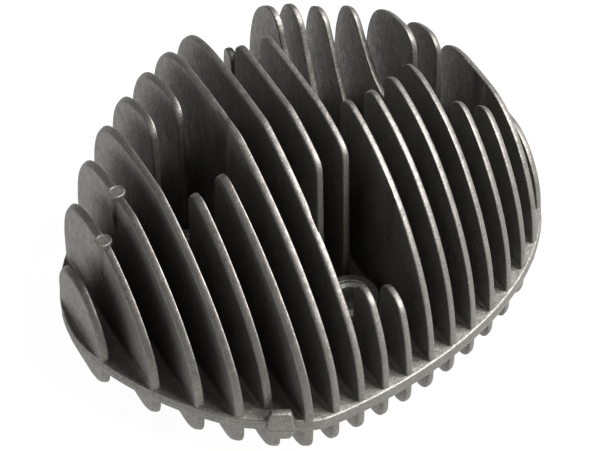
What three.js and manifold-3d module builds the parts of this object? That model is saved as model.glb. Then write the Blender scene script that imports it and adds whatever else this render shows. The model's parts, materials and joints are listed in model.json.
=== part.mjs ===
// Cylinder head of an air-cooled two-stroke engine, as its cast features: a deck plate with short fins
// under it, tall cooling fins on top under a domed outline, four stud bosses that stand in deep wells,
// a leaning spark plug boss in a flared channel, and the chamber body that seals on the cylinder.
// Millimetres, +Z up. The fins run along Y and are stacked along X, and -Y is the front.
// Heights are counted from the deck's top face; the whole head is lifted at the end so that its gasket
// face lies at Z = 0, with the origin under the middle of the deck.
import * as THREE from "three";
import { mergeVertices } from "three/addons/utils/BufferGeometryUtils.js";
import Module from "manifold-3d";

const wasm = await Module();
wasm.setup();

// Driving dimensions
const PITCH = 9;                       // centre to centre of the fins
const FIN_COUNT = 18;
const FIN_ROOT = 2.5;                  // fin thickness at the deck
const FIN_TIP = 2.2;                   // fin thickness at the crown
const CROWN = 7.15 * PITCH;            // highest fin edge above the deck

// Egg-shaped outline of the fin field: its front reaches farthest left of the middle, its rear near the
// middle, and each quarter is a superellipse
const LEFT_END = -8.9 * PITCH;
const RIGHT_END = 9.05 * PITCH;
const FRONT_WIDEST = -3.08 * PITCH;
const REAR_WIDEST = 0.05 * PITCH;
const FRONT_REACH = 7.33 * PITCH;
const REAR_REACH = 7.12 * PITCH;
const FRONT_POWERS = { left: 1.52, right: 1.96 };    // 2 is an ellipse, and less is more pointed
const REAR_POWERS = { left: 1.94, right: 1.85 };
const RIM = 0.1 * PITCH;               // deck beyond the fins' feet
const DECK = 4.7;
const DECK_EDGE_ROUND = 1.2;

// Short fins under the deck: deepest in the middle, shallower towards both ends
const LOWER_FIN_DEPTH = 12.4;
const LOWER_FIN_RISE = 2.6;
const LOWER_FIN_END_ROUND = 8;

// Chamber body under the deck
const BODY_DEPTH = 14.3;
const BODY_RADIUS = 44;
const BODY_CENTRE = [1 * PITCH, 0.8 * PITCH];
const BORE_RADIUS = 33;
const SQUISH_DEPTH = 1.2;
const BOWL_RADIUS = 24;
const BOWL_DEPTH = 11.5;

// Stud bosses and the wells round them; each well opens upwards by the casting draft
const STUDS = {
  left: [-4 * PITCH, 0.95 * PITCH],
  right: [6 * PITCH, 0.65 * PITCH],
  front: [0, -3.6 * PITCH],
  rear: [0, 5.25 * PITCH],
};
const STUD_HOLE = 4.5;
const STUD_BOSS = 8.8;
const STUD_COUNTERBORE = 6.1;
const COUNTERBORE_DEPTH = 1;
const STUD_BOSS_HEIGHT = 9.5;
const STUD_COLUMN = 9.8;
const WELL_RADIUS = { left: 11.7, right: 11.7, front: 11.7, rear: 10 };
const WELL_DRAFT = 0.03;

// Spark plug boss and its channel, on one axis that leans right and back
const PLUG_FOOT = [1.9 * PITCH, 1.1 * PITCH, 0];
const PLUG_LEAN = [0.18, 0.26];        // travel in X and Y for each unit of height
const PLUG_HOLE = 7;
const PLUG_BOSS = 9.9;
const PLUG_BOSS_LENGTH = 11;
const CHANNEL_RADIUS = 10.8;
const CHANNEL_FLARE = 0.174;

// Fins that are low in front of the front well and behind the rear one
const LOW_FRONT_HEIGHTS = { 9: 3.42 * PITCH, 10: 2.95 * PITCH };
const LOW_FRONT_BACK = -4.9 * PITCH;
const LOW_REAR_HEIGHT = 4.25 * PITCH;

// Rounding of the fins' upper corners, and how finely their side outlines are drawn
const CORNER_ROUND = 0.65 * PITCH;
const OUTLINE_STEP = 0.5;
const OUTLINE_TOLERANCE = 0.16;

// Casting lug on the front rim, ahead of the fifth fin, whose foot keeps clear of it
const LUG_FIN = 5;
const LUG_ROOM = 0.6 * PITCH;
const LUG_WIDTH = 8.4;
const LUG_DEPTH = 3.6;
const LUG_TOP = 4.3;                   // above the deck
const LUG_BOTTOM = 7.4;                // below the deck's top face
const LUG_PROUD = 0.7;
const LUG_TURN = -0.44;                // about the upright axis, in radians

// Round ejector pads in the second and third fins, a little above the fin's edge: the place along Y
const PAD_PLACES = { 2: 0.3 * PITCH, 3: 1.28 * PITCH };
const PAD_PROUD = 0.5;
const PAD_RADIUS = 3.05;
const PAD_DEPTH = 1.9 * PITCH;

const CLEARANCE = 0.3;
const CHAMFER = 0.6;
const SHORTEST_PORTION = 3;            // a shorter scrap of fin is cut away with the well
const STEM_RADIUS = 0.9;               // foot of an ejector pad, inside the fin

const PLACE_NAMES = { 1: [""], 2: ["_front", "_rear"], 3: ["_front", "_middle", "_rear"] };

const finX = (number) => (number - (FIN_COUNT + 1) / 2) * PITCH;

const castMetal = new THREE.MeshStandardMaterial({ color: 0x77746f, roughness: 0.62, metalness: 0.85 });
const deckMetal = new THREE.MeshStandardMaterial({ color: 0x85827d, roughness: 0.6, metalness: 0.85 });
const machinedMetal = new THREE.MeshStandardMaterial({ color: 0xa5a39e, roughness: 0.35, metalness: 0.95 });

// --- solids -------------------------------------------------------------------------------------

function toSolid(geometry) {
  const bare = geometry.clone();
  for (const name of Object.keys(bare.attributes)) {
    if (name !== "position") bare.deleteAttribute(name);
  }
  const merged = mergeVertices(bare, 1e-4);
  return new wasm.Manifold(new wasm.Mesh({
    numProp: 3,
    vertProperties: new Float32Array(merged.attributes.position.array),
    triVerts: new Uint32Array(merged.index.array),
  }));
}

function toGeometry(solid) {
  const mesh = solid.getMesh();
  const geometry = new THREE.BufferGeometry();
  geometry.setAttribute("position", new THREE.BufferAttribute(new Float32Array(mesh.vertProperties), 3));
  geometry.setIndex(new THREE.BufferAttribute(new Uint32Array(mesh.triVerts), 1));
  geometry.computeVertexNormals();
  return geometry;
}

function addPiece(parent, name, solid, material) {
  const mesh = new THREE.Mesh(toGeometry(solid), material);
  mesh.name = name;
  parent.add(mesh);
}

// Upright cylinder or cone between two heights
function upright(centre, bottomRadius, topRadius, low, high, sides = 40) {
  const geometry = new THREE.CylinderGeometry(topRadius, bottomRadius, high - low, sides);
  geometry.rotateX(Math.PI / 2);
  geometry.translate(centre[0], centre[1], (low + high) / 2);
  return toSolid(geometry);
}

// Turned solid from a profile of [radius, height] points, standing along +Z
function turned(profile, sides = 40) {
  const geometry = new THREE.LatheGeometry(profile.map(([r, z]) => new THREE.Vector2(r, z)), sides);
  geometry.rotateX(Math.PI / 2);
  return geometry;
}

// --- outline and dome ----------------------------------------------------------------------------

const superellipse = (t, power) => (1 - t ** power) ** (1 / power);

// Share of its full reach that one side of the outline has at one station along X
function outlineShare(x, widest, powers) {
  const [end, power] = x < widest ? [LEFT_END, powers.left] : [RIGHT_END, powers.right];
  return superellipse((x - widest) / (end - widest), power);
}

const frontY = (x) => -FRONT_REACH * outlineShare(x, FRONT_WIDEST, FRONT_POWERS);
const rearY = (x) => REAR_REACH * outlineShare(x, REAR_WIDEST, REAR_POWERS);

// Front end of an upper fin's foot
const frontEnd = (number) => frontY(finX(number)) + (number === LUG_FIN ? LUG_ROOM : 0);

// Plan outline of the fin field, grown by a margin
function outlineShape(margin, steps = 72) {
  const points = [];
  for (let i = 0; i < steps; i++) {
    const angle = (2 * Math.PI * i) / steps;
    const [c, s] = [Math.cos(angle), Math.sin(angle)];
    const [widest, reach] = s < 0 ? [FRONT_WIDEST, -FRONT_REACH - margin] : [REAR_WIDEST, REAR_REACH + margin];
    const powers = s < 0 ? FRONT_POWERS : REAR_POWERS;
    const [end, power] = c < 0 ? [LEFT_END - margin, powers.left] : [RIGHT_END + margin, powers.right];
    const x = widest + (end - widest) * Math.abs(c) ** (2 / power);
    points.push(new THREE.Vector2(x, reach * Math.abs(s) ** (2 / power)));
  }
  return new THREE.Shape(points);
}

// Highest point of the dome at one station along X
function crownAt(x) {
  const [reach, power] = x < 0 ? [9 * PITCH, 1.9] : [8.75 * PITCH, 2.6];
  return CROWN * superellipse(Math.abs(x) / reach, power);
}

// Dome height as a share of the crown, ahead of the middle: near an ellipse on the right-hand fins, a
// ramp with a steep foot on the left-hand ones, and a blend of both in between
function frontShare(x, t) {
  const arch = superellipse(t, 1.83);
  const ramp = (1 - 0.36 * t) * (1 - t ** 2.4) ** 0.43;
  const leftness = THREE.MathUtils.smoothstep(-x, -1.5 * PITCH, 1.5 * PITCH);
  return leftness * ramp + (1 - leftness) * arch;
}

// Behind the middle the dome is fuller, and least so on the leftmost fins
function rearShare(x, t) {
  return superellipse(t, 4.8 + 0.2 * Math.min(x / PITCH, 0));
}

function domeHeight(number, y) {
  const x = finX(number);
  const [front, rear] = [frontEnd(number), rearY(x)];
  if (y <= front || y >= rear) return 0;
  return crownAt(x) * (y < 0 ? frontShare(x, y / front) : rearShare(x, y / rear));
}

// Height at which an upright line meets a stud well: 0 where the well takes all of the fin, and
// without limit where the well only grazes the fin's face
function wellFloor(stud, x, y) {
  if (Math.abs(x - STUDS[stud][0]) > WELL_RADIUS[stud]) return Infinity;
  const distance = Math.hypot(x - STUDS[stud][0], y - STUDS[stud][1]);
  return Math.max((distance - WELL_RADIUS[stud]) / WELL_DRAFT, 0);
}

// Height at which an upright line enters the flared channel round the spark plug
function channelFloor(x, y) {
  const foot = new THREE.Vector3(...PLUG_FOOT);
  for (let z = 0; z < CROWN; z += OUTLINE_STEP) {
    const offset = new THREE.Vector3(x, y, z).sub(foot);
    const along = offset.dot(plugAxis);
    const radius = Math.sqrt(Math.max(offset.lengthSq() - along * along, 0));
    if (radius < CHANNEL_RADIUS + CHANNEL_FLARE * along) return z;
  }
  return Infinity;
}

// Height of a low fin's outer portions, level behind and falling to the rim in front
function lowFinHeight(number, y) {
  if (!(number in LOW_FRONT_HEIGHTS)) return Infinity;
  if (y > STUDS.rear[1]) return LOW_REAR_HEIGHT;
  if (y > STUDS.front[1]) return Infinity;
  const t = Math.max((LOW_FRONT_BACK - y) / (LOW_FRONT_BACK - frontEnd(number)), 0);
  return LOW_FRONT_HEIGHTS[number] * superellipse(t, 4);
}

// Fin edge height before its corners are rounded
function rawHeight(number, y) {
  const x = finX(number);
  const floors = Object.keys(STUDS).map((stud) => wellFloor(stud, x, y));
  return Math.min(domeHeight(number, y), channelFloor(x, y), lowFinHeight(number, y), ...floors);
}

// Rolls a ball along the underside of a row of evenly spaced heights, which rounds the outer corners
function roundCorners(heights, radius) {
  const reach = Math.floor(radius / OUTLINE_STEP);
  const offsets = Array.from({ length: 2 * reach + 1 }, (_, i) => i - reach);
  const lift = (k) => Math.sqrt(radius * radius - (k * OUTLINE_STEP) ** 2);
  const at = (row, i) => (i >= 0 && i < row.length ? row[i] : -Infinity);
  const centres = heights.map((_, i) => Math.min(...offsets.map((k) => at(heights, i + k) - lift(k))));
  return heights.map((h, i) => Math.min(h, Math.max(...offsets.map((k) => at(centres, i + k) + lift(k)))));
}

// Drops the points that lie within a tolerance of the line between their neighbours
function simplify(points, tolerance) {
  const [first, last] = [points[0], points[points.length - 1]];
  const chord = [last[0] - first[0], last[1] - first[1]];
  let [farthest, index] = [tolerance, 0];
  points.forEach(([y, z], i) => {
    const distance = Math.abs(chord[0] * (z - first[1]) - chord[1] * (y - first[0])) / Math.hypot(...chord);
    if (distance > farthest) [farthest, index] = [distance, i];
  });
  if (index === 0) return [first, last];
  const before = simplify(points.slice(0, index + 1), tolerance);
  return [...before, ...simplify(points.slice(index), tolerance).slice(1)];
}

// Side outlines of the portions that the wells and the channel leave of an upper fin, front to rear
function upperFinProfiles(number) {
  const rear = rearY(finX(number));
  const runs = [];
  let run = [];
  for (let y = frontEnd(number) + OUTLINE_STEP / 4; y < rear + OUTLINE_STEP; y += OUTLINE_STEP) {
    const height = y < rear ? rawHeight(number, y) : 0;
    if (height > 0) {
      run.push([y, height]);
    } else if (run.length) {
      runs.push(run);
      run = [];
    }
  }
  const kept = runs.filter((points) => points.length * OUTLINE_STEP > SHORTEST_PORTION);
  return kept.map((points) => {
    const round = Math.min(CORNER_ROUND, (points.length * OUTLINE_STEP) / 2.4);
    const heights = roundCorners(points.map(([, z]) => z), round);
    const edge = simplify(points.map(([y], i) => [y, Math.max(heights[i], 0.2)]), OUTLINE_TOLERANCE);
    return [[edge[0][0], 0], ...edge, [edge[edge.length - 1][0], 0]];
  });
}

// Side outline of a short fin under the deck
function lowerFinProfile(x) {
  const [front, rear] = [frontY(x), rearY(x)];
  const bottom = -DECK - LOWER_FIN_DEPTH + LOWER_FIN_RISE * (x / finX(1)) ** 2;
  const round = Math.min(LOWER_FIN_END_ROUND, (rear - front) / 2.2);
  const steps = 6;
  const arc = (y, side) => Array.from({ length: steps + 1 }, (_, i) => {
    const angle = (Math.PI / 2) * (i / steps);
    return [y + side * round * (1 - Math.cos(angle)), bottom + round * (1 - Math.sin(angle))];
  });
  return [[front, -DECK / 2], ...arc(front, 1), ...arc(rear, -1).reverse(), [rear, -DECK / 2]];
}

// Plate in the YZ plane from a side outline, thinning away from the deck by the casting draft
function finPlate(x, profile) {
  const shape = new THREE.Shape(profile.map(([y, z]) => new THREE.Vector2(y, z)));
  const geometry = new THREE.ExtrudeGeometry(shape, { depth: 1, bevelEnabled: false });
  const position = geometry.attributes.position;
  for (let i = 0; i < position.count; i++) {
    const [y, z, across] = [position.getX(i), position.getY(i), position.getZ(i)];
    const thickness = FIN_ROOT - (FIN_ROOT - FIN_TIP) * (Math.abs(z) / CROWN);
    position.setXYZ(i, x + (across - 0.5) * thickness, y, z);
  }
  return toSolid(geometry);
}

// --- cutters -------------------------------------------------------------------------------------

function wellCutter(stud) {
  const height = CROWN + PITCH;
  const radius = WELL_RADIUS[stud];
  return upright(STUDS[stud], radius - WELL_DRAFT * PITCH, radius + WELL_DRAFT * height, -PITCH, height);
}

// Wells that only graze a fin's face, and leave a shallow relief in it
function grazingWells(x) {
  return Object.keys(STUDS).filter((stud) => {
    const gap = Math.abs(x - STUDS[stud][0]) - WELL_RADIUS[stud];
    return gap > 0 && gap < FIN_ROOT / 2 + WELL_DRAFT * CROWN;
  });
}

// Direction of the spark plug axis, and a transform that stands +Z along it at the plug's foot
const plugAxis = new THREE.Vector3(...PLUG_LEAN, 1).normalize();

function alongPlug(geometry) {
  geometry.applyQuaternion(new THREE.Quaternion().setFromUnitVectors(new THREE.Vector3(0, 0, 1), plugAxis));
  geometry.translate(...PLUG_FOOT);
  return toSolid(geometry);
}

function plugHoleCutter() {
  const reach = BODY_DEPTH + DECK + PLUG_BOSS_LENGTH;
  return alongPlug(turned([[0, -reach], [PLUG_HOLE, -reach], [PLUG_HOLE, reach], [0, reach]], 32));
}

function studHoleCutters() {
  const reach = 4 * PITCH;
  return Object.values(STUDS).map((centre) => upright(centre, STUD_HOLE, STUD_HOLE, -reach, reach, 32));
}

// Everything under a height, as one large block
function blockBelow(height) {
  const size = 40 * PITCH;
  const geometry = new THREE.BoxGeometry(size, size, size);
  geometry.translate(0, 0, height - size / 2);
  return toSolid(geometry);
}

const cutAll = (solid, cutters) => cutters.reduce((rest, cutter) => rest.subtract(cutter), solid);

// --- pieces --------------------------------------------------------------------------------------

// Chamber body outline: the round body and a column round each stud, grown by a margin
function bodyBlock(margin, low, high) {
  const columns = Object.values(STUDS).map((c) => upright(c, STUD_COLUMN + margin, STUD_COLUMN + margin, low, high));
  const body = upright(BODY_CENTRE, BODY_RADIUS + margin, BODY_RADIUS + margin, low, high, 72);
  return columns.reduce((sum, column) => sum.add(column), body);
}

function deckPlate() {
  const shape = outlineShape(RIM - DECK_EDGE_ROUND);
  const plate = new THREE.ExtrudeGeometry(shape, {
    depth: DECK - 2 * DECK_EDGE_ROUND,
    bevelThickness: DECK_EDGE_ROUND,
    bevelSize: DECK_EDGE_ROUND,
    bevelSegments: 3,
    curveSegments: 1,
  });
  plate.translate(0, 0, DECK_EDGE_ROUND - DECK);
  const lowerFins = [];
  for (let number = 1; number <= FIN_COUNT; number++) {
    lowerFins.push(finPlate(finX(number), lowerFinProfile(finX(number))));
  }
  const room = bodyBlock(CLEARANCE, -4 * PITCH, -DECK);
  const fins = lowerFins.map((fin) => fin.subtract(room));
  const whole = [...fins, frontLug()].reduce((sum, solid) => sum.add(solid), toSolid(plate));
  return cutAll(whole, [...studHoleCutters(), plugHoleCutter()]);
}

function chamberBody() {
  const floor = -DECK - BODY_DEPTH;
  const bowl = turned([
    [0, -PITCH],
    [BORE_RADIUS, -PITCH],
    [BORE_RADIUS, SQUISH_DEPTH],
    [BOWL_RADIUS, SQUISH_DEPTH],
    [BOWL_RADIUS * 0.9, BOWL_DEPTH * 0.5],
    [BOWL_RADIUS * 0.66, BOWL_DEPTH * 0.83],
    [BOWL_RADIUS * 0.35, BOWL_DEPTH * 0.97],
    [0, BOWL_DEPTH],
  ], 48);
  bowl.translate(...BODY_CENTRE, floor);
  return cutAll(bodyBlock(0, floor, -DECK), [toSolid(bowl), ...studHoleCutters(), plugHoleCutter()]);
}

function studBoss(stud) {
  const top = STUD_BOSS_HEIGHT;
  const geometry = turned([
    [STUD_HOLE, 0],
    [STUD_BOSS, 0],
    [STUD_BOSS, top - CHAMFER],
    [STUD_BOSS - CHAMFER, top],
    [STUD_COUNTERBORE, top],
    [STUD_COUNTERBORE, top - COUNTERBORE_DEPTH],
    [STUD_HOLE, top - COUNTERBORE_DEPTH],
    [STUD_HOLE, 0],
  ], 32);
  geometry.translate(...STUDS[stud], 0);
  return toSolid(geometry);
}

function plugBoss() {
  const top = PLUG_BOSS_LENGTH;
  const profile = [[0, -PITCH], [PLUG_BOSS, -PITCH], [PLUG_BOSS, top - CHAMFER], [PLUG_BOSS - CHAMFER, top], [0, top]];
  return alongPlug(turned(profile)).subtract(blockBelow(0)).subtract(plugHoleCutter());
}

// Casting lug: a block with chamfered top and bottom edges, a little proud of the deck's edge
function frontLug() {
  const half = LUG_WIDTH / 2;
  const face = new THREE.Shape([
    new THREE.Vector2(-half + 1.2, -LUG_BOTTOM),
    new THREE.Vector2(half - 1.2, -LUG_BOTTOM),
    new THREE.Vector2(half, -LUG_BOTTOM + 3),
    new THREE.Vector2(half, LUG_TOP - 1.2),
    new THREE.Vector2(half - 1, LUG_TOP),
    new THREE.Vector2(-half + 1, LUG_TOP),
    new THREE.Vector2(-half, LUG_TOP - 1.2),
    new THREE.Vector2(-half, -LUG_BOTTOM + 3),
  ]);
  const geometry = new THREE.ExtrudeGeometry(face, { depth: LUG_DEPTH, bevelEnabled: false });
  geometry.rotateX(Math.PI / 2);
  geometry.rotateZ(LUG_TURN);
  const x = finX(LUG_FIN);
  const behind = LUG_DEPTH - LUG_PROUD;
  geometry.translate(x - behind * Math.sin(LUG_TURN), frontY(x) - RIM + behind * Math.cos(LUG_TURN), 0);
  return toSolid(geometry);
}

// Round pad just above the fin's highest point, on a stem that narrows downwards into the fin
function ejectorPad(number) {
  const top = crownAt(finX(number)) + PAD_PROUD;
  const pad = turned([
    [0, top - PAD_DEPTH],
    [STEM_RADIUS, top - PAD_DEPTH],
    [PAD_RADIUS, top - 2 * CHAMFER],
    [PAD_RADIUS, top],
    [0, top],
  ], 24);
  pad.translate(finX(number), PAD_PLACES[number], 0);
  return toSolid(pad);
}

// Portions of an upper fin, front to rear
function upperFin(number) {
  const x = finX(number);
  const wells = grazingWells(x).map(wellCutter);
  const portions = upperFinProfiles(number).map((profile) => cutAll(finPlate(x, profile), wells));
  return number in PAD_PLACES ? portions.map((portion) => portion.add(ejectorPad(number))) : portions;
}

const head = new THREE.Group();
head.position.set(-(LEFT_END + RIGHT_END) / 2, (FRONT_REACH - REAR_REACH) / 2, DECK + BODY_DEPTH);

addPiece(head, "deck_plate", deckPlate(), deckMetal);
addPiece(head, "chamber_body", chamberBody(), machinedMetal);
addPiece(head, "spark_plug_boss", plugBoss(), castMetal);
for (const stud of Object.keys(STUDS)) {
  addPiece(head, `stud_boss_${stud}`, studBoss(stud), machinedMetal);
}

for (let number = 1; number <= FIN_COUNT; number++) {
  const portions = upperFin(number);
  const places = PLACE_NAMES[portions.length];
  portions.forEach((portion, i) => {
    addPiece(head, `upper_fin_${String(number).padStart(2, "0")}${places[i]}`, portion, castMetal);
  });
}

export default head;
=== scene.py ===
"""Visual model of a bare, bead-blasted aluminium cylinder head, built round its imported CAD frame.

Every CAD node gets a finished twin. The fins' outlines, the wells' reliefs, the rim and the bores are
measured on the CAD solids, so the twins follow them; the casting's roundings, root fillets, draft,
parting ridge, turning marks, threads and skin are added here. Metres, +Z up, fins along Y.
"""
import json
import math

import bmesh
import bpy
import numpy as np
from mathutils import Matrix, Vector, geometry, noise
from mathutils.bvhtree import BVHTree


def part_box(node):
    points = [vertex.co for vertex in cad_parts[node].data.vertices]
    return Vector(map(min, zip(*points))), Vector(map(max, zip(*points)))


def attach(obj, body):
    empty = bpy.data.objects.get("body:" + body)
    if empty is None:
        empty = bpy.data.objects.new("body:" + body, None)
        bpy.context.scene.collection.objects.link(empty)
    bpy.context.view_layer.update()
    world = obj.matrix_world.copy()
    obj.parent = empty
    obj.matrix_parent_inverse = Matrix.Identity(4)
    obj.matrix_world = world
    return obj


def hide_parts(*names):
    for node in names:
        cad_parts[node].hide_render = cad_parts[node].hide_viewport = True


MM = 0.001
BODY = "root"
UP, DOWN = 1, -1

# Fins
TIP_SHARE = 0.9                 # thickness at the crown as a share of the root's
CROWN = 64 * MM                 # height at which a fin has that thickness
ROOT_FILLET = 1.5 * MM
LEAST_HEIGHT = 1.8 * MM         # a fin's sloping end starts above its root fillet
SINK = 1.6 * MM                 # how far a fin's foot reaches into the deck
EDGE_RINGS = 5                  # rings on each half of a fin's edge
EDGE_SQUARENESS = 0.68          # 1 is a round edge, and less has a flatter land
EDGE_DROP = 0.75                # how far the edge's corners lie back, as a share of half the thickness
STEEPEST_EDGE = 0.5             # limit to how much an edge slopes across the fin's thickness
STEEPEST_CROWN = 0.9            # limit to how much of the dome's slope a fin's crown takes over
NEAR_RIM = 8 * MM               # an end this close to the rim follows the rim's slope
FILLET_RUN_OUT = 5 * MM         # a root fillet fades to nothing over this length before the rim
OUTLINE_STEP = 1.0 * MM
FACE_STEP = (1.3 * MM, 4.0 * MM)   # spacing of the points on a fin's face along Y and Z
RAY_STEP = 0.25 * MM
WAVE_LENGTH = 34 * MM           # casting waviness of the fins
WAVE_HEIGHT = 0.16 * MM
WAVE_SEED = 7                   # without a seed, noise_vector takes its offsets from the clock
PAD_PROBE, PAD_RADIUS = 1.9, 3.05   # mm: where a pad is read beside its fin, and how wide the CAD has it

# Deck
DECK_EDGE = 1.2 * MM            # depth below the deck's top at which the CAD's rim is full width
RIM_INSET = 0.1 * MM            # leaves room for the parting ridge inside the CAD's outline
RIM_ROUND_TOP = 0.7 * MM
RIM_ROUND = 0.9 * MM
RIM_TRIM = 0.15 * MM            # the fins are trimmed this far inside the rim
RIDGE_PROUD = 0.16 * MM
RIM_STEPS = 260
LEAST_DEPTH = 2 * MM            # a lower fin is where the underside hangs at least this far down

# Casting lug, in millimetres: its sections give the height above the deck, the half width, and the
# reach to the front and to the rear. The narrow step in the middle is the parting ridge.
LUG_TURN = -0.44                # radians
LUG_ROUND = 0.8 * MM
LUG_SHIFT = 0.8                 # towards the right along the rim
LUG_CLEAR = 9 * MM              # the rim's outline isn't read this close to the lug
LUG_SECTIONS = [
    (-7.3, 2.7, 1.2, 0.8),
    (-5.0, 3.9, 1.7, 1.6),
    (-2.6, 4.5, 1.85, 2.2),
    (-2.2, 4.55, 2.1, 2.2),
    (-1.8, 4.5, 1.85, 2.2),
    (1.5, 3.9, 1.7, 2.1),
    (4.25, 3.2, 1.2, 1.7),
]

# Chamber body
BODY_RADIUS = 44 * MM
BORE_RADIUS = 33 * MM

# Bores
THREAD_PITCH = 1.25 * MM
THREAD_DEPTH = 0.55 * MM
PLUG_RADIUS = 7 * MM
PLUG_SEAT_MIDDLE = 8.15         # mm from the plug's axis to the mount on its seat
STUD_RADIUS = 4.5 * MM
BORE_CHAMFER = 0.5 * MM

# Stage
FLOOR_GAP = 0.2 * MM            # keeps the floor out of the gasket face's plane
CAMERA_TURN = 27.382            # degrees towards the head's left
CAMERA_HEIGHT = 46              # degrees above the horizon
CAMERA_DISTANCE = 968.51        # mm
LENS, SENSOR = 180, 36
AIM_ASIDE, AIM_BEHIND = 4.347, 44.1   # mm: the camera's aim, right of and behind the front stud

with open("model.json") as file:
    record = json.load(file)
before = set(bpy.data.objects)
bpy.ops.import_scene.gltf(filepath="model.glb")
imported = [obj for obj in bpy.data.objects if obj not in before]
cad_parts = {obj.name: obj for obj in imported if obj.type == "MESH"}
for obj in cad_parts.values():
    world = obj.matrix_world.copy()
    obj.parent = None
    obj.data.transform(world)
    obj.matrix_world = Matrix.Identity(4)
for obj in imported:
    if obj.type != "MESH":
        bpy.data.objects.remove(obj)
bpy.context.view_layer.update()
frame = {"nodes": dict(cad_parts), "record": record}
RECORD = frame["record"]
NODES = frame["nodes"]


def middle_of(node):
    low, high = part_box(node)
    return (low + high) / 2


def mount(name):
    found = next(m for m in RECORD["mounts"] if m["name"] == name)
    return Vector(found["pos_m"]), Vector(found["axis"])


def opening_middle(name):
    found = next(o for o in RECORD["physics"]["openings"] if o["name"] == name)
    low, high = (Vector(corner) for corner in found["box_m"])
    return (low + high) / 2


FINS = sorted(name for name in NODES if name.startswith("upper_fin"))
STUDS = {name: middle_of(name) for name in sorted(NODES) if name.startswith("stud_boss")}
DECK_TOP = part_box("spark_plug_boss")[0].z
DECK_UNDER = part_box("chamber_body")[1].z
BODY_CENTRE = opening_middle("combustion_chamber")
FIN_X = sorted({round(middle_of(name).x, 5) for name in FINS})


# --- small tools ---------------------------------------------------------------------------------

def solid_tree(node):
    """Ray casting tree of a CAD node, whose object sits at the origin."""
    mesh = NODES[node].data
    polygons = [tuple(p.vertices) for p in mesh.polygons]
    return BVHTree.FromPolygons([v.co.copy() for v in mesh.vertices], polygons)


def resampled(points, step=None, count=None):
    """An open polyline with evenly spaced points."""
    lengths = np.hypot(*np.diff(points, axis=0).T)
    along = np.concatenate([[0], np.cumsum(lengths)])
    count = count or max(int(along[-1] / step), 4)
    even = np.linspace(0, along[-1], count)
    return np.stack([np.interp(even, along, points[:, k]) for k in range(2)], axis=1)


def smoothed(points, passes, closed=False):
    points = np.array(points, float)
    for _ in range(passes):
        mean = (np.roll(points, 1, axis=0) + 2 * points + np.roll(points, -1, axis=0)) / 4
        if not closed:
            mean[0], mean[-1] = points[0], points[-1]
        points = mean
    return points


def left_normals(points, closed=False):
    """Unit normals on the left-hand side of the way along a polyline."""
    if closed:
        tangent = np.roll(points, -1, axis=0) - np.roll(points, 1, axis=0)
    else:
        tangent = np.gradient(points, axis=0)
    tangent /= np.linalg.norm(tangent, axis=1)[:, None]
    return np.stack([-tangent[:, 1], tangent[:, 0]], axis=1)


def new_object(name, vertices, faces):
    mesh = bpy.data.meshes.new(name)
    mesh.from_pydata([tuple(v) for v in vertices], [], faces)
    mesh.update()
    obj = bpy.data.objects.new(name, mesh)
    bpy.context.scene.collection.objects.link(obj)
    tidy = bmesh.new()
    tidy.from_mesh(mesh)
    bmesh.ops.recalc_face_normals(tidy, faces=tidy.faces)
    tidy.to_mesh(mesh)
    tidy.free()
    return obj


def object_from(name, built):
    """An object in the scene from a bmesh, which is used up."""
    mesh = bpy.data.meshes.new(name)
    built.to_mesh(mesh)
    built.free()
    obj = bpy.data.objects.new(name, mesh)
    bpy.context.scene.collection.objects.link(obj)
    return obj


def require_closed(obj):
    """Stops the script on an open mesh, which a boolean would pass over with only a warning."""
    check = bmesh.new()
    check.from_mesh(obj.data)
    open_edges = sum(not edge.is_manifold for edge in check.edges)
    check.free()
    if open_edges:
        raise RuntimeError(f"{obj.name} has {open_edges} edges that aren't closed")


def combined(target, others, operation):
    """Joins or cuts a piece with others, which are used up."""
    for other in others:
        require_closed(target)
        require_closed(other)
        modifier = target.modifiers.new("cut", "BOOLEAN")
        modifier.operation = operation
        modifier.solver = "MANIFOLD"
        modifier.object = other
        evaluated = target.evaluated_get(bpy.context.evaluated_depsgraph_get())
        mesh = bpy.data.meshes.new_from_object(evaluated)
        target.modifiers.clear()
        old, target.data = target.data, mesh
        bpy.data.meshes.remove(old)
        bpy.data.objects.remove(other)
    return target


def turned_points(profile, centre, axis, sides):
    """Rings of points round an axis, one for each (radius, height) point of a profile."""
    turn = Vector((0, 0, 1)).rotation_difference(Vector(axis)).to_matrix()
    points = []
    for radius, height in profile:
        for k in range(sides):
            angle = 2 * math.pi * k / sides
            local = Vector((radius * math.cos(angle), radius * math.sin(angle), height))
            points.append(Vector(centre) + turn @ local)
    return points


def lathe(name, profile, centre, axis=(0, 0, 1), sides=96):
    """Closed solid of revolution from (radius, height) points that run from the foot to the top."""
    vertices, faces = turned_points(profile, centre, axis, sides), []
    for row in range(len(profile) - 1):
        for k in range(sides):
            a, b = row * sides + k, row * sides + (k + 1) % sides
            faces.append((a, b, b + sides, a + sides))
    last = (len(profile) - 1) * sides
    faces.append(tuple(range(sides))[::-1])
    faces.append(tuple(range(last, last + sides)))
    return new_object(name, vertices, faces)


def quarter_round(centre_r, centre_z, radius, start, stop, steps=5):
    """Points of an arc in a (radius, height) profile, between two angles in degrees."""
    angles = np.radians(np.linspace(start, stop, steps + 1))
    return [(centre_r + radius * math.cos(a), centre_z + radius * math.sin(a)) for a in angles]


noise.seed_set(WAVE_SEED)


def wavy(point):
    """Offset that makes cast faces slightly uneven, fading out towards the deck."""
    field = noise.noise_vector(Vector(point) / WAVE_LENGTH)
    fade = min(abs(point[2] - DECK_TOP) / (12 * MM), 1)
    return Vector((field.x, field.y * 0.6, field.z * 0.6)) * WAVE_HEIGHT * fade


# --- the rim's outline, read from the deck plate ---------------------------------------------------

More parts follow.
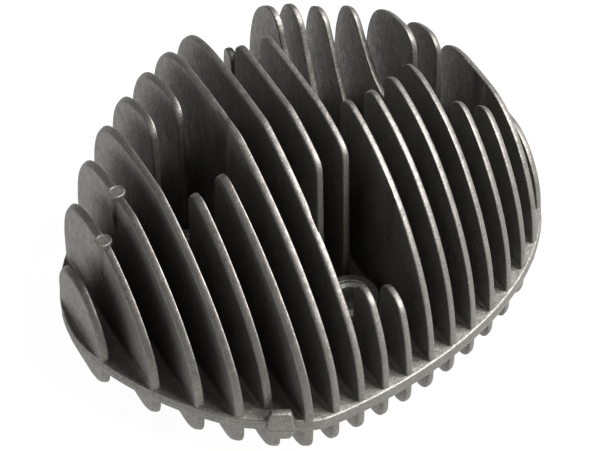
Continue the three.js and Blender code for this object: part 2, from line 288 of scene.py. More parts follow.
def lug_middle():
    """Middle of the casting lug's top, the only part of the deck plate above its top face."""
    top = np.array([v.co for v in NODES["deck_plate"].data.vertices if v.co.z > DECK_TOP + MM])
    return Vector((top.min(0) + top.max(0)) / 2)


def rim_outline():
    """The deck's plan outline: evenly spaced points in order round the rim."""
    deck = NODES["deck_plate"].data
    level = DECK_TOP - DECK_EDGE
    lug = lug_middle().xy
    near = [v.co.xy for v in deck.vertices
            if abs(v.co.z - level) < 0.05 * MM and (v.co.xy - lug).length > LUG_CLEAR]
    hull = [near[i] for i in geometry.convex_hull_2d(near)]
    ring = np.array([tuple(p) for p in hull] + [tuple(hull[0])])
    even = resampled(ring, count=RIM_STEPS + 1)[:-1]
    return smoothed(even, 6, closed=True)


def outward_normals(ring):
    normals = left_normals(ring, closed=True)
    return normals if normals[0] @ (ring[0] - ring.mean(0)) > 0 else -normals


RIM = rim_outline()
RIM_OUT = outward_normals(RIM)


def rim_at(x):
    """Front and rear place of the rim at one station along X."""
    places = []
    for (x0, y0), (x1, y1) in zip(RIM, np.roll(RIM, -1, axis=0)):
        if min(x0, x1) <= x < max(x0, x1):
            places.append(y0 + (y1 - y0) * (x - x0) / (x1 - x0))
    return (min(places), max(places)) if places else (0.0, 0.0)


def rim_slopes(x):
    """How fast the front and the rear of the rim move outwards along +X."""
    reach = 1.5 * MM
    before, after = rim_at(x - reach), rim_at(x + reach)
    return (before[0] - after[0]) / (2 * reach), (after[1] - before[1]) / (2 * reach)


# --- fins ------------------------------------------------------------------------------------------

def foot_levels():
    """Heights of the rows through a fin's root fillet, from below the deck upwards."""
    angles = np.radians([90, 68, 48, 30, 14, 0])
    return np.concatenate([[-SINK], ROOT_FILLET * (1 - np.sin(angles))])


FOOT_LEVELS = foot_levels()


def fillet_reach(height):
    """How far the root fillet stands out at one height above the deck."""
    if height >= ROOT_FILLET:
        return 0.0
    down = ROOT_FILLET - max(height, 0)
    return ROOT_FILLET - math.sqrt(max(ROOT_FILLET**2 - down**2, 0))


def half_thickness(root, height):
    return root / 2 * (1 - (1 - TIP_SHARE) * min(max(height, 0) / CROWN, 1))


def fin_outline(heights):
    """Side outline of a fin from its (y, height) points: straight feet, and a smooth edge between."""
    corner = np.array([[heights[0][0], ROOT_FILLET], *heights, [heights[-1][0], ROOT_FILLET]])
    edge = smoothed(resampled(corner, step=OUTLINE_STEP), 3)
    foot = FOOT_LEVELS[:-1]
    front = [(edge[0][0], level) for level in foot]
    rear = [(edge[-1][0], level) for level in foot[::-1]]
    return np.array([*front, *edge, *rear])


class FinBuilder:
    """Closed mesh of one fin portion: a plate in the YZ plane with rounded edges and a root fillet.

    outline holds (y, height) points from the front foot over the edge to the rear foot, way is UP or
    DOWN from the base plane, and slopes tell how fast the front, rear and edge move outwards along X.
    """

    def __init__(self, x, base, way, root, outline, slopes):
        self.x, self.base, self.way, self.root = x, base, way, root
        self.outline = outline
        self.normals = smoothed(left_normals(outline), 2)
        self.normals /= np.linalg.norm(self.normals, axis=1)[:, None]
        self.vertices, self.faces, self.pushes, self.feet = [], [], [], {}
        self.slopes = np.clip(self.edge_slopes(slopes), -STEEPEST_EDGE, STEEPEST_EDGE)
        self.at_rim = [end != 0 for end in slopes[:2]]
        self.rings = self.edge_rings()
        for side in (-1, 1):
            self.face_side(side)
        self.foot_cap()

    def edge_slopes(self, slopes):
        front, rear, top = slopes
        ny, nz = self.normals.T
        return np.where(ny < 0, -ny * front, ny * rear) + np.maximum(nz, 0) * top

    def add(self, u, y, height, push):
        """Adds a vertex at an offset u from the fin's middle plane, and notes its fillet direction."""
        self.vertices.append([u, y, height])
        self.pushes.append(push)
        return len(self.vertices) - 1

    def edge_rings(self):
        """Rings of vertices across the rounded edge, from one face over the edge to the other."""
        rings = {}
        for k in range(-EDGE_RINGS, EDGE_RINGS + 1):
            angle = math.pi / 2 * k / EDGE_RINGS
            ring = []
            for (y, height), (ny, nz), slope in zip(self.outline, self.normals, self.slopes):
                half = half_thickness(self.root, height)
                u = math.copysign(half * abs(math.sin(angle)) ** EDGE_SQUARENESS, angle)
                back = EDGE_DROP * half * (1 - max(math.cos(angle), 0) ** EDGE_SQUARENESS)
                move = slope * u - back
                push = (math.sin(angle), ny * math.cos(angle))
                ring.append(self.add(u, y + ny * move, height + nz * move, push))
            rings[k] = ring
        for k in range(-EDGE_RINGS, EDGE_RINGS):
            a, b = rings[k], rings[k + 1]
            for i in range(len(a) - 1):
                self.faces.append((a[i], a[i + 1], b[i + 1], b[i]))
        return rings

    def face_side(self, side):
        """Rows through the root fillet, then a triangulated face up to the rounded edge."""
        ring = self.rings[side * EDGE_RINGS]
        rows = []
        start, stop = (self.vertices[ring[i]][1] for i in (0, -1))
        columns = max(int((stop - start) / (3 * MM)), 1)
        for j, level in enumerate(FOOT_LEVELS):
            half = half_thickness(self.root, level)
            ends = ring[j], ring[len(ring) - 1 - j]
            ys = np.linspace(self.vertices[ends[0]][1], self.vertices[ends[1]][1], columns + 1)[1:-1]
            inner = [self.add(side * half, y, level, (side, 0)) for y in ys]
            rows.append([ends[0], *inner, ends[1]])
        for low, high in zip(rows, rows[1:]):
            for i in range(len(low) - 1):
                self.faces.append((low[i], low[i + 1], high[i + 1], high[i]))
        last = len(FOOT_LEVELS) - 1
        loop = [*ring[last:len(ring) - last], *rows[-1][-2:0:-1]]
        self.fill(loop, side)
        self.feet[side] = rows[0]

    def fill(self, loop, side):
        border = [Vector(self.vertices[i][1:]) for i in loop]
        inner = self.inner_points(border)
        points = border + inner
        edges = [(i, (i + 1) % len(loop)) for i in range(len(loop))]
        result = geometry.delaunay_2d_cdt(points, edges, [list(range(len(loop)))], 1, 1e-9)
        places, _, triangles, originals = result[:4]
        index = []
        for place, sources in zip(places, originals):
            known = [loop[s] for s in sources if s < len(loop)]
            if known:
                index.append(known[0])
            else:
                half = half_thickness(self.root, place.y)
                index.append(self.add(side * half, place.x, place.y, (side, 0)))
        self.faces += [tuple(index[v] for v in t) for t in triangles]

    def inner_points(self, border):
        """Grid points inside the loop, clear of its border."""
        edge = np.array([tuple(p) for p in border])
        low, high = edge.min(0), edge.max(0)
        ys = np.arange(low[0] + FACE_STEP[0], high[0], FACE_STEP[0])
        zs = np.arange(ROOT_FILLET + 1.5 * MM, high[1], FACE_STEP[1])
        before, after = edge, np.roll(edge, -1, axis=0)
        points = []
        for y in ys:
            for z in zs:
                if np.hypot(edge[:, 0] - y, edge[:, 1] - z).min() < 0.8 * MM:
                    continue
                crosses = (before[:, 1] > z) != (after[:, 1] > z)
                b, a = before[crosses], after[crosses]
                at = b[:, 0] + (z - b[:, 1]) * (a[:, 0] - b[:, 0]) / (a[:, 1] - b[:, 1])
                if (at > y).sum() % 2:
                    points.append(Vector((y, z)))
        return points

    def foot_cap(self):
        nose = [self.rings[k][0] for k in range(-EDGE_RINGS + 1, EDGE_RINGS)]
        tail = [self.rings[k][-1] for k in range(EDGE_RINGS - 1, -EDGE_RINGS, -1)]
        self.faces.append((*nose, *self.feet[1], *tail, *self.feet[-1][::-1]))

    def fillet_share(self, y):
        """Share of the root fillet at one place along the fin, which runs out towards the rim."""
        front = (y - self.outline[0][0]) / FILLET_RUN_OUT if self.at_rim[0] else 1
        rear = (self.outline[-1][0] - y) / FILLET_RUN_OUT if self.at_rim[1] else 1
        return min(max(min(front, rear), 0), 1)

    def placed(self, relief):
        """Vertices in the head's frame, with the root fillet, the wells' reliefs and the waviness."""
        places = []
        for (u, y, height), (px, py) in zip(self.vertices, self.pushes):
            flare = fillet_reach(height) * self.fillet_share(y)
            place = Vector((self.x + u + px * flare, y + py * flare, self.base + self.way * height))
            if relief and height >= ROOT_FILLET:
                place.x = self.x + relief(place, u)
            places.append(place + wavy(place))
        return places

    def object(self, name, relief=None):
        return new_object(name, self.placed(relief), self.faces)


def cad_relief(node, x):
    """A function that draws a vertex in to where a stud well grazes the CAD fin's face."""
    tree = solid_tree(node)

    def relief(place, u):
        side = 1 if u > 0 else -1
        outside = Vector((x + side * 4 * MM, place.y, place.z))
        hit = tree.ray_cast(outside, Vector((-side, 0, 0)), 8 * MM)[0]
        if hit is None or abs(u) < 0.5 * MM:
            return u
        return side * min(abs(u), max(abs(hit.x - x), 0.35 * MM))

    return relief


def ray_heights(tree, x, ys, way, base, far=0.2):
    """Height above (or depth below) a base plane that upright rays meet at each y, or None."""
    heights = []
    for y in ys:
        hit = tree.ray_cast(Vector((x, y, base + way * far)), Vector((0, 0, -way)))[0]
        heights.append(None if hit is None else way * (hit.z - base))
    return heights


def pad_span(node):
    """The stretch along Y of an ejector pad, which stands out of the fin's faces, or None."""
    low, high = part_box(node)
    if high.x - low.x < 4 * MM:
        return None
    ys = np.arange(low.y, high.y, RAY_STEP)
    x = (low.x + high.x) / 2 + PAD_PROBE * MM
    over = [y for y, h in zip(ys, ray_heights(solid_tree(node), x, ys, UP, DECK_TOP)) if h]
    return over[0], over[-1]


def fin_root(node):
    """Thickness of a fin at its root."""
    deck = DECK_TOP + 0.01 * MM
    xs = [v.co.x for v in NODES[node].data.vertices if v.co.z < deck]
    return max(xs) - min(xs)


def neighbour_slope(node, reader):
    """Change of a fin's measure along X, from the fins on both sides."""
    x = middle_of(node).x
    number = min(range(len(FIN_X)), key=lambda i: abs(FIN_X[i] - x))
    near = [i for i in (number - 1, number + 1) if 0 <= i < len(FIN_X)]
    values = [max(reader(n) for n in FINS if abs(middle_of(n).x - FIN_X[i]) < MM) for i in near]
    here = max(reader(n) for n in FINS if abs(middle_of(n).x - x) < MM)
    if len(values) == 1:
        return (values[0] - here) / (FIN_X[near[0]] - x)
    return (values[1] - values[0]) / (FIN_X[near[1]] - FIN_X[near[0]])


def upper_slopes(node):
    """Slopes of a portion's front, rear and edge: the ends in wells and the channel stand upright."""
    low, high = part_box(node)
    x = (low.x + high.x) / 2
    rim_front, rim_rear = rim_at(x)
    front, rear = rim_slopes(x)
    top = neighbour_slope(node, lambda n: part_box(n)[1].z)
    return (front if low.y - rim_front < NEAR_RIM else 0.0,
            rear if rim_rear - high.y < NEAR_RIM else 0.0,
            max(min(top, STEEPEST_CROWN), -STEEPEST_CROWN))


def upper_outline(node):
    low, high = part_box(node)
    x = (low.x + high.x) / 2
    inset = 0.02 * MM
    ys = np.linspace(low.y + inset, high.y - inset, int((high.y - low.y) / RAY_STEP))
    heights = ray_heights(solid_tree(node), x, ys, UP, DECK_TOP)
    pairs = [(y, h) for y, h in zip(ys, heights) if h and h > LEAST_HEIGHT]
    pad = pad_span(node)
    if pad:
        pairs = [(y, h) for y, h in pairs if not pad[0] - MM < y < pad[1] + MM]
    return fin_outline(pairs)


def ejector_pad(node, span):
    """Round pad with a soft edge, on a stem that narrows downwards into the fin."""
    radius = (span[1] - span[0]) / 2 / math.cos(math.asin(PAD_PROBE / PAD_RADIUS))
    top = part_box(node)[1].z
    centre = (middle_of(node).x, (span[0] + span[1]) / 2, 0)
    edge = 0.35 * MM
    stem = [(1.1 * MM, top - 18 * MM), (1.75 * MM, top - 12 * MM), (2.4 * MM, top - 5 * MM)]
    collar = [(radius * 0.93, top - 2.1 * MM), (radius, top - 1.4 * MM)]
    rim = quarter_round(radius - edge, top - edge, edge, 0, 90)
    dish = [
        (radius * 0.72, top - 0.02 * MM),
        (radius * 0.66, top - 0.16 * MM),
        (0.2 * MM, top - 0.18 * MM),
    ]
    return lathe("pad", stem + collar + rim + dish, centre, sides=48)


def finish_piece(piece, node, materials, sharp=32):
    """Smooth shading with sharp creases, its materials, and its place in the frame."""
    for polygon in piece.data.polygons:
        polygon.use_smooth = True
    piece.data.set_sharp_from_angle(angle=math.radians(sharp))
    piece.data.materials.clear()
    for material in materials:
        piece.data.materials.append(material)
    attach(piece, BODY)
    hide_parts(node)


def trimmed(piece):
    """Takes off what stands out over the rim, such as the root fillet of an outermost fin."""
    ring = RIM - RIM_OUT * RIM_TRIM
    vertices = [(x, y, z) for z in (-10 * MM, 100 * MM) for x, y in ring]
    pairs = [(k, (k + 1) % RIM_STEPS) for k in range(RIM_STEPS)]
    walls = [(a, b, b + RIM_STEPS, a + RIM_STEPS) for a, b in pairs]
    caps = [tuple(range(RIM_STEPS)), tuple(range(RIM_STEPS, 2 * RIM_STEPS))]
    return combined(piece, [new_object("rim_prism", vertices, walls + caps)], "INTERSECT")


def build_upper_fin(node, material):
    x = middle_of(node).x
    builder = FinBuilder(x, DECK_TOP, UP, fin_root(node), upper_outline(node), upper_slopes(node))
    piece = builder.object("cast_" + node, cad_relief(node, x))
    span = pad_span(node)
    if span:
        combined(piece, [ejector_pad(node, span)], "UNION")
    finish_piece(trimmed(piece), node, [material])


# --- bores -----------------------------------------------------------------------------------------

def stud_cutters():
    """Drills for the stud bores, with a small countersink at the gasket face."""
    high, low = DECK_TOP + 40 * MM, -MM
    wide = STUD_RADIUS + BORE_CHAMFER
    profile = [(wide, low), (wide, 0), (STUD_RADIUS, BORE_CHAMFER), (STUD_RADIUS, high)]
    return [lathe("drill", profile, (c.x, c.y, 0), sides=72) for c in STUDS.values()]


def plug_line():
    """A point in the middle of the plug's seat, and the direction of its axis."""
    point, axis = mount("spark_plug_seat")
    across = Vector((1, 0, 0)) - axis * axis.x
    return point - across.normalized() * PLUG_SEAT_MIDDLE * MM, axis.normalized()


def plug_tap():
    """Threaded tap for the plug hole: a cylinder whose wall carries a helical thread."""
    centre, axis = plug_line()
    turn = Vector((0, 0, 1)).rotation_difference(axis).to_matrix()
    low, high = -42 * MM, 2 * MM
    sides = 72
    rows = int((high - low) / (THREAD_PITCH / 8))
    vertices, faces = [], []
    for row in range(rows + 1):
        height = low + (high - low) * row / rows
        for k in range(sides):
            share = (height / THREAD_PITCH - k / sides) % 1
            groove = min(max(1.6 * abs(2 * share - 1) - 0.3, 0), 1) * THREAD_DEPTH
            radius = PLUG_RADIUS - THREAD_DEPTH + groove
            angle = 2 * math.pi * k / sides
            local = Vector((radius * math.cos(angle), radius * math.sin(angle), height))
            vertices.append(centre + turn @ local)
    for row in range(rows):
        for k in range(sides):
            a, b = row * sides + k, row * sides + (k + 1) % sides
            faces.append((a, b, b + sides, a + sides))
    faces.append(tuple(range(sides))[::-1])
    faces.append(tuple(range(rows * sides, (rows + 1) * sides)))
    return new_object("tap", vertices, faces)


# --- deck plate ------------------------------------------------------------------------------------

def rim_profile():
    """(outward, height) points down the rim: rounded edges with a parting ridge between them."""
    thick = DECK_TOP - DECK_UNDER
    ridge = thick * 0.47
    top = quarter_round(-RIM_ROUND_TOP, -RIM_ROUND_TOP, RIM_ROUND_TOP, 90, 0, 4)
    bottom = quarter_round(-RIM_ROUND, -thick + RIM_ROUND, RIM_ROUND, 0, -90, 6)
    bump = [(0, 0.55), (0.8, 0.3), (1, 0), (0.8, -0.3), (0, -0.55)]
    parting = [(RIDGE_PROUD * out, -ridge + rise * MM) for out, rise in bump]
    return top + parting + bottom


def deck_slab():
    """The plate itself, swept round the rim's outline."""
    vertices, faces = [], []
    profile = rim_profile()
    for out, height in profile:
        ring = RIM + RIM_OUT * (out - RIM_INSET)
        vertices += [(x, y, DECK_TOP + height) for x, y in ring]
    for row in range(len(profile) - 1):
        for k in range(RIM_STEPS):
            a, b = row * RIM_STEPS + k, row * RIM_STEPS + (k + 1) % RIM_STEPS
            faces.append((a, b, b + RIM_STEPS, a + RIM_STEPS))
    last = (len(profile) - 1) * RIM_STEPS
    faces.append(tuple(range(RIM_STEPS)))
    faces.append(tuple(range(last, last + RIM_STEPS))[::-1])
    return new_object("cast_deck_plate", vertices, faces)


def lower_runs(tree, x):
    """Stretches along Y where a short fin hangs under the deck, as lists of (y, depth)."""
    front, rear = rim_at(x)
    ys = np.arange(front, rear, RAY_STEP)
    runs, run = [], []
    for y, depth in zip(ys, ray_heights(tree, x, ys, DOWN, DECK_UNDER)):
        if depth and depth > 0.2 * MM:
            run.append((y, depth))
        elif run:
            runs.append(run)
            run = []
    if run:
        runs.append(run)
    return [r for r in runs if max(depth for _, depth in r) > LEAST_DEPTH]


def into_body(run, x):
    """A short fin's stretch, carried on a little where it ends at the chamber body."""
    front, rear = rim_at(x)
    reach = 1.5 * MM
    start = [(run[0][0] - reach, run[0][1])] if run[0][0] - front > NEAR_RIM else []
    stop = [(run[-1][0] + reach, run[-1][1])] if rear - run[-1][0] > NEAR_RIM else []
    return start + run + stop


def lower_fins():
    tree = solid_tree("deck_plate")
    root = fin_root(FINS[0])
    pieces = []
    for x in FIN_X:
        front, rear = rim_slopes(x)
        for run in lower_runs(tree, x):
            pairs = into_body(run, x)
            slopes = (front if pairs[0] is run[0] else 0.0, rear if pairs[-1] is run[-1] else 0.0, 0.0)
            builder = FinBuilder(x, DECK_UNDER, DOWN, root, fin_outline(pairs), slopes)
            pieces.append(trimmed(builder.object("lower_fin")))
    return pieces


def casting_lug():
    """Lug on the front rim: a block that narrows towards its top and foot, with rounded edges."""
    middle = lug_middle()
    turn = Matrix.Rotation(LUG_TURN, 3, "Z")
    block = bmesh.new()
    rings = []
    for height, width, front, rear in LUG_SECTIONS:
        centre = Vector((middle.x, middle.y, DECK_TOP + height * MM))
        left, right = LUG_SHIFT - width, LUG_SHIFT + width
        corners = [(left, -front), (right, -front), (right, rear), (left, rear)]
        rings.append([block.verts.new(centre + turn @ Vector((x, y, 0)) * MM) for x, y in corners])
    for low, high in zip(rings, rings[1:]):
        for k in range(4):
            block.faces.new((low[k], low[(k + 1) % 4], high[(k + 1) % 4], high[k]))
    block.faces.new(rings[0][::-1])
    block.faces.new(rings[-1])
    block.normal_update()
    corners = [edge for edge in block.edges if edge.calc_face_angle() > math.radians(50)]
    bmesh.ops.bevel(block, geom=corners, offset=LUG_ROUND, segments=4, affect="EDGES", profile=0.5)
    return object_from("lug", block)


def build_deck(material):
    piece = deck_slab()
    combined(piece, lower_fins(), "UNION")
    combined(piece, [casting_lug()], "UNION")
    combined(piece, [*stud_cutters(), plug_tap()], "DIFFERENCE")
    finish_piece(piece, "deck_plate", [material])


# --- chamber body ----------------------------------------------------------------------------------

def body_profile(radius):
    """Outside of a round block between the gasket face and the deck: chamfered foot, straight wall."""
    high = DECK_UNDER
    return [(radius - 0.6 * MM, 0), (radius, 0.6 * MM), (radius, high * 0.5), (radius, high)]


def bowl_cutter():
    """The room over the piston: a flat squish band and a domed bowl with a soft lip."""
    bore, bowl, lip, squish, depth = BORE_RADIUS, 24 * MM, 1.2 * MM, 1.2 * MM, 11.5 * MM
    dome = []
    for step in range(1, 19):
        angle = math.pi / 2 * step / 19
        dome.append((bowl * math.cos(angle) ** 0.8, squish + (depth - squish) * math.sin(angle)))
    edge = quarter_round(bowl + lip, squish + lip, lip, 270, 205)
    edge = [(radius, height) for radius, height in edge if height < dome[1][1]]
    crown = [(0.3 * MM, depth)]
    band = [(bore, -MM), (bore, squish - 0.25 * MM), (bore - 0.25 * MM, squish)]
    profile = band + edge[:3] + dome[1:] + crown
    return lathe("bowl", profile, (BODY_CENTRE.x, BODY_CENTRE.y, 0), sides=128)


def build_chamber(machined, cast):
    column = STUDS["stud_boss_left"].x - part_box("chamber_body")[0].x
    centre = (BODY_CENTRE.x, BODY_CENTRE.y, 0)
    piece = lathe("cast_chamber_body", body_profile(BODY_RADIUS), centre, sides=160)
    posts = [lathe("post", body_profile(column), (c.x, c.y, 0), sides=72) for c in STUDS.values()]
    combined(piece, posts, "UNION")
    combined(piece, [bowl_cutter(), *stud_cutters(), plug_tap()], "DIFFERENCE")
    finish_piece(piece, "chamber_body", [machined, cast])
    for polygon in piece.data.polygons:
        outside = (polygon.center.xy - BODY_CENTRE.xy).length > BORE_RADIUS + 0.5 * MM
        polygon.material_index = 1 if outside and abs(polygon.normal.z) < 0.9 else 0


# --- bosses ----------------------------------------------------------------------------------------

def stud_boss_profile(height):
    """Cast column, turned seat with fine grooves, counterbore with a soft step, and the bore."""
    outer, seat, counter, bore = 8.8 * MM, 8.3 * MM, 6.1 * MM, STUD_RADIUS
    soft = 0.45 * MM
    wall = [(outer + 0.9 * MM, 0), (outer + 0.35 * MM, 0.35 * MM), (outer + 0.08 * MM, MM)]
    wall += quarter_round(outer - soft, height - soft, soft, 0, 70)
    face = []
    grooves = 5
    for k in range(grooves * 4 + 1):
        radius = seat + (counter + 0.3 * MM - seat) * k / (grooves * 4)
        face.append((radius, height - 0.05 * MM * (1 - math.cos(math.pi * k / 2)) / 2))
    step = quarter_round(counter + 0.25 * MM, height - 0.3 * MM, 0.25 * MM, 90, 180, 3)
    floor = height - MM
    inner = [(counter, floor + 0.15 * MM), (counter - 0.15 * MM, floor)]
    mouth = [(bore + 0.45 * MM, floor), (bore, floor - 0.45 * MM), (bore, 0)]
    return wall + face + step + inner + mouth


def ring_solid(name, profile, centre, axis=(0, 0, 1), sides=96):
    """Solid of revolution with a hole: the profile runs up the outside and down the inside."""
    vertices, faces = turned_points(profile, centre, axis, sides), []
    rows = len(profile)
    for row in range(rows):
        for k in range(sides):
            a, b = row * sides + k, row * sides + (k + 1) % sides
            c, d = ((row + 1) % rows) * sides + (k + 1) % sides, ((row + 1) % rows) * sides + k
            faces.append((a, b, c, d))
    return new_object(name, vertices, faces)


def build_stud_boss(node, machined, cast):
    low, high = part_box(node)
    height = high.z - low.z
    centre = STUDS[node]
    piece = ring_solid("cast_" + node, stud_boss_profile(height), (centre.x, centre.y, low.z))
    finish_piece(piece, node, [machined, cast], sharp=50)
    for polygon in piece.data.polygons:
        wall = (polygon.center.xy - centre.xy).length > 8.35 * MM
        polygon.material_index = 1 if wall else 0


def build_plug_boss(machined, cast):
    """Leaning boss with a turned seat, cut level with the deck, round the threaded hole."""
    centre, axis = plug_line()
    outer, seat = 9.9 * MM, 9.2 * MM
    soft = 0.6 * MM
    wall = [(outer + 0.5 * MM, -17 * MM), (outer + 0.3 * MM, -9 * MM)]
    wall += quarter_round(outer - soft, -soft, soft, 0, 80)
    face = [
        (seat - 0.1 * MM, -0.03 * MM),
        (7.9 * MM, -0.03 * MM),
        (7.1 * MM, -0.75 * MM),
        (0.4 * MM, -0.75 * MM),
    ]
    piece = lathe("cast_spark_plug_boss", wall + face, centre, axis)
    below = bmesh.new()
    bmesh.ops.create_cube(below, size=80 * MM)
    bmesh.ops.translate(below, verts=below.verts, vec=(centre.x, centre.y, DECK_TOP - 40 * MM))
    combined(piece, [object_from("below", below), plug_tap()], "DIFFERENCE")
    finish_piece(piece, "spark_plug_boss", [cast, machined])
    for polygon in piece.data.polygons:
        offset = polygon.center - centre
        off_axis = (offset - axis * offset.dot(axis)).length
        polygon.material_index = 1 if off_axis < 9.3 * MM and polygon.center.z > DECK_TOP + MM else 0


# --- materials -------------------------------------------------------------------------------------

class Nodes:
    """Short-hand for building one material's node tree."""

    def __init__(self, name):
        self.material = bpy.data.materials.new(name)
        self.material.use_nodes = True
        self.tree = self.material.node_tree
        self.tree.nodes.clear()
        self.output = self.add("ShaderNodeOutputMaterial")
        self.shader = self.add("ShaderNodeBsdfPrincipled")
        self.link(self.shader, "BSDF", self.output, "Surface")
        self.place = self.add("ShaderNodeTexCoord")

    def add(self, kind, **settings):
        node = self.tree.nodes.new(kind)
        for key, value in settings.items():
            setattr(node, key, value)
        return node

    def link(self, source, output, target, socket):
        self.tree.links.new(source.outputs[output], target.inputs[socket])

    def noise(self, size, detail=2.0, rough=0.5):
        """Noise whose features have about the given size in metres."""
        node = self.add("ShaderNodeTexNoise")
        node.inputs["Scale"].default_value = 1 / size
        node.inputs["Detail"].default_value = detail
        node.inputs["Roughness"].default_value = rough
        self.link(self.place, "Object", node, "Vector")
        return node

    def ramp(self, source, output, stops):
        """Colour ramp from (position, colour) stops; a colour may be a single grey value."""
        node = self.add("ShaderNodeValToRGB")
        elements = node.color_ramp.elements
        while len(elements) < len(stops):
            elements.new(0.5)
        for element, (position, colour) in zip(elements, stops):
            element.position = position
            rgb = (colour,) * 3 if isinstance(colour, float) else colour
            element.color = (*rgb, 1)
        self.link(source, output, node, "Fac")
        return node

    def mix(self, factor, first, second, blend="MIX"):
        """Mixes two colour outputs; the factor is a number or a (node, output) pair."""
        node = self.add("ShaderNodeMix", data_type="RGBA", blend_type=blend)
        if isinstance(factor, tuple):
            self.tree.links.new(factor[0].outputs[factor[1]], node.inputs[0])
        else:
            node.inputs[0].default_value = factor
        self.tree.links.new(first, node.inputs[6])
        self.tree.links.new(second, node.inputs[7])
        return node.outputs[2]

    def bump(self, source, output, depth, before=None):
        """Bump of a real depth in metres on top of another bump."""
        node = self.add("ShaderNodeBump")
        node.inputs["Strength"].default_value = 1
        node.inputs["Distance"].default_value = depth
        self.link(source, output, node, "Height")
        if before:
            self.link(before, "Normal", node, "Normal")
        return node


def blasted_metal(name, dark, light):
    """Bead-blasted cast aluminium: fine grain with a painted glint, pitted skin, mottled colour and
    uneven gloss.
    """
    n = Nodes(name)
    patches = n.noise(9 * MM, detail=4, rough=0.6)
    grains = n.noise(0.55 * MM, detail=3, rough=0.7)
    pits = n.noise(1.6 * MM, detail=2, rough=0.5)
    cast_skin = n.noise(6 * MM, detail=3, rough=0.55)
    base = n.ramp(patches, "Fac", [(0.3, dark), (0.7, light)])
    speckle = n.ramp(grains, "Fac", [(0.32, 0.72), (0.5, 1.0), (0.72, 1.0)])
    # painted glint: bright flecks on the grains are added to the base colour and stand in for light
    # sparkling off the blasted skin
    glint = n.ramp(grains, "Fac", [(0.55, 0.0), (0.75, 0.16)])
    toned = n.mix(1.0, base.outputs["Color"], speckle.outputs["Color"], "MULTIPLY")
    n.tree.links.new(n.mix(1.0, toned, glint.outputs["Color"], "ADD"), n.shader.inputs["Base Color"])
    gloss = n.ramp(pits, "Fac", [(0.3, 0.5), (0.7, 0.64)])
    n.link(gloss, "Color", n.shader, "Roughness")
    n.shader.inputs["Metallic"].default_value = 1.0
    skin = n.bump(cast_skin, "Fac", 0.35 * MM)
    pitted = n.bump(pits, "Fac", 0.12 * MM, skin)
    blasted = n.bump(grains, "Fac", 0.09 * MM, pitted)
    n.link(blasted, "Normal", n.shader, "Normal")
    return n.material


def nearest_axis(n, centres):
    """Output with the distance to the nearest of several upright axes."""
    split = n.add("ShaderNodeSeparateXYZ")
    n.link(n.place, "Object", split, "Vector")
    nearest = None
    for centre in centres:
        flat = n.add("ShaderNodeCombineXYZ")
        n.link(split, "X", flat, "X")
        n.link(split, "Y", flat, "Y")
        distance = n.add("ShaderNodeVectorMath", operation="DISTANCE")
        distance.inputs[1].default_value = (centre.x, centre.y, 0)
        n.link(flat, "Vector", distance, 0)
        if nearest is None:
            nearest = distance
            continue
        least = n.add("ShaderNodeMath", operation="MINIMUM")
        n.link(nearest, "Value", least, 0)
        n.link(distance, "Value", least, 1)
        nearest = least
    return nearest


def turned_metal(name, centres):
    """Turned aluminium: fine concentric tool marks round the nearest of several upright axes."""
    n = Nodes(name)
    rings = n.add("ShaderNodeTexNoise", noise_dimensions="1D")
    rings.inputs["Scale"].default_value = 1 / (0.28 * MM)
    rings.inputs["Detail"].default_value = 2
    n.link(nearest_axis(n, centres), "Value", rings, "W")
    grains = n.noise(0.7 * MM, detail=3, rough=0.65)
    patches = n.noise(7 * MM, detail=3)
    base = n.ramp(patches, "Fac", [(0.3, (0.29, 0.283, 0.268)), (0.7, (0.36, 0.352, 0.336))])
    lines = n.ramp(rings, "Fac", [(0.35, 0.78), (0.6, 1.0)])
    toned = n.mix(0.8, base.outputs["Color"], lines.outputs["Color"], "MULTIPLY")
    n.tree.links.new(toned, n.shader.inputs["Base Color"])
    gloss = n.ramp(grains, "Fac", [(0.3, 0.36), (0.7, 0.5)])
    n.link(gloss, "Color", n.shader, "Roughness")
    n.shader.inputs["Metallic"].default_value = 1.0
    marks = n.bump(rings, "Fac", 0.06 * MM)
    worn = n.bump(grains, "Fac", 0.05 * MM, marks)
    n.link(worn, "Normal", n.shader, "Normal")
    return n.material


def floor_material():
    n = Nodes("pale_floor")
    soft = n.noise(60 * MM, detail=2)
    tone = n.ramp(soft, "Fac", [(0.3, 0.05), (0.7, 0.07)])
    glow = n.ramp(soft, "Fac", [(0.3, 0.96), (0.7, 0.99)])
    n.link(tone, "Color", n.shader, "Base Color")
    n.link(glow, "Color", n.shader, "Emission Color")
    n.shader.inputs["Emission Strength"].default_value = 1
    n.shader.inputs["Roughness"].default_value = 0.9
    return n.material


# --- stage -----------------------------------------------------------------------------------------

def make_floor():
    floor = bmesh.new()
    bmesh.ops.create_grid(floor, x_segments=2, y_segments=2, size=6)
    obj = object_from("floor", floor)
    obj.data.materials.append(floor_material())
    obj.location.z = -FLOOR_GAP


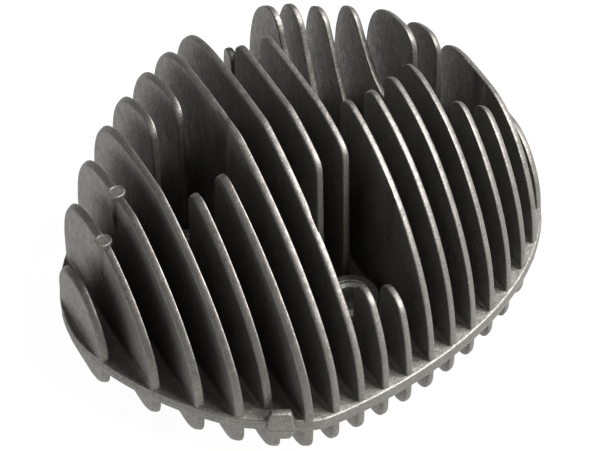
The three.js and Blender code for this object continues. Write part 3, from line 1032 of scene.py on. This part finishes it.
def area_light(name, place, aim, size, power):
    data = bpy.data.lights.new(name, "AREA")
    data.shape = "DISK"
    data.size = size
    data.energy = power
    obj = bpy.data.objects.new(name, data)
    obj.location = place
    obj.rotation_euler = (Vector(aim) - Vector(place)).to_track_quat("-Z", "Y").to_euler()
    bpy.context.scene.collection.objects.link(obj)


def make_lights():
    world = bpy.data.worlds.new("studio")
    world.use_nodes = True
    background = world.node_tree.nodes["Background"]
    background.inputs["Color"].default_value = (1, 1, 1, 1)
    background.inputs["Strength"].default_value = 0.18
    bpy.context.scene.world = world
    area_light("key", (0.62, -0.4, 0.9), (0, 0, 0.03), 0.9, 39)


def make_camera():
    """Long lens that looks down at the head from its left front."""
    turn, height = math.radians(CAMERA_TURN), math.radians(CAMERA_HEIGHT)
    level = math.cos(height)
    away = Vector((-math.sin(turn) * level, -math.cos(turn) * level, math.sin(height)))
    right = Vector((math.cos(turn), -math.sin(turn), 0))
    front = STUDS["stud_boss_front"]
    aim = right * AIM_ASIDE * MM + Vector((front.x, front.y + AIM_BEHIND * MM, DECK_TOP))
    data = bpy.data.cameras.new("camera")
    data.sensor_width = SENSOR
    data.lens = LENS
    data.clip_start, data.clip_end = 0.05, 50
    camera = bpy.data.objects.new("camera", data)
    camera.location = aim + away * CAMERA_DISTANCE * MM
    camera.rotation_euler = (-away).to_track_quat("-Z", "Y").to_euler()
    bpy.context.scene.collection.objects.link(camera)
    bpy.context.scene.camera = camera


def build():
    make_camera()
    cast = blasted_metal("blasted_cast", (0.2, 0.19, 0.174), (0.248, 0.237, 0.217))
    deck = blasted_metal("blasted_deck", (0.212, 0.202, 0.185), (0.261, 0.25, 0.23))
    machined = turned_metal("turned_seats", list(STUDS.values()))
    faced = turned_metal("turned_gasket_face", [BODY_CENTRE])
    for node in FINS:
        build_upper_fin(node, cast)
    build_deck(deck)
    build_chamber(faced, deck)
    for node in STUDS:
        build_stud_boss(node, machined, deck)
    build_plug_boss(faced, cast)
    make_floor()
    make_lights()
    bpy.context.scene.view_settings.view_transform = "Standard"


build()
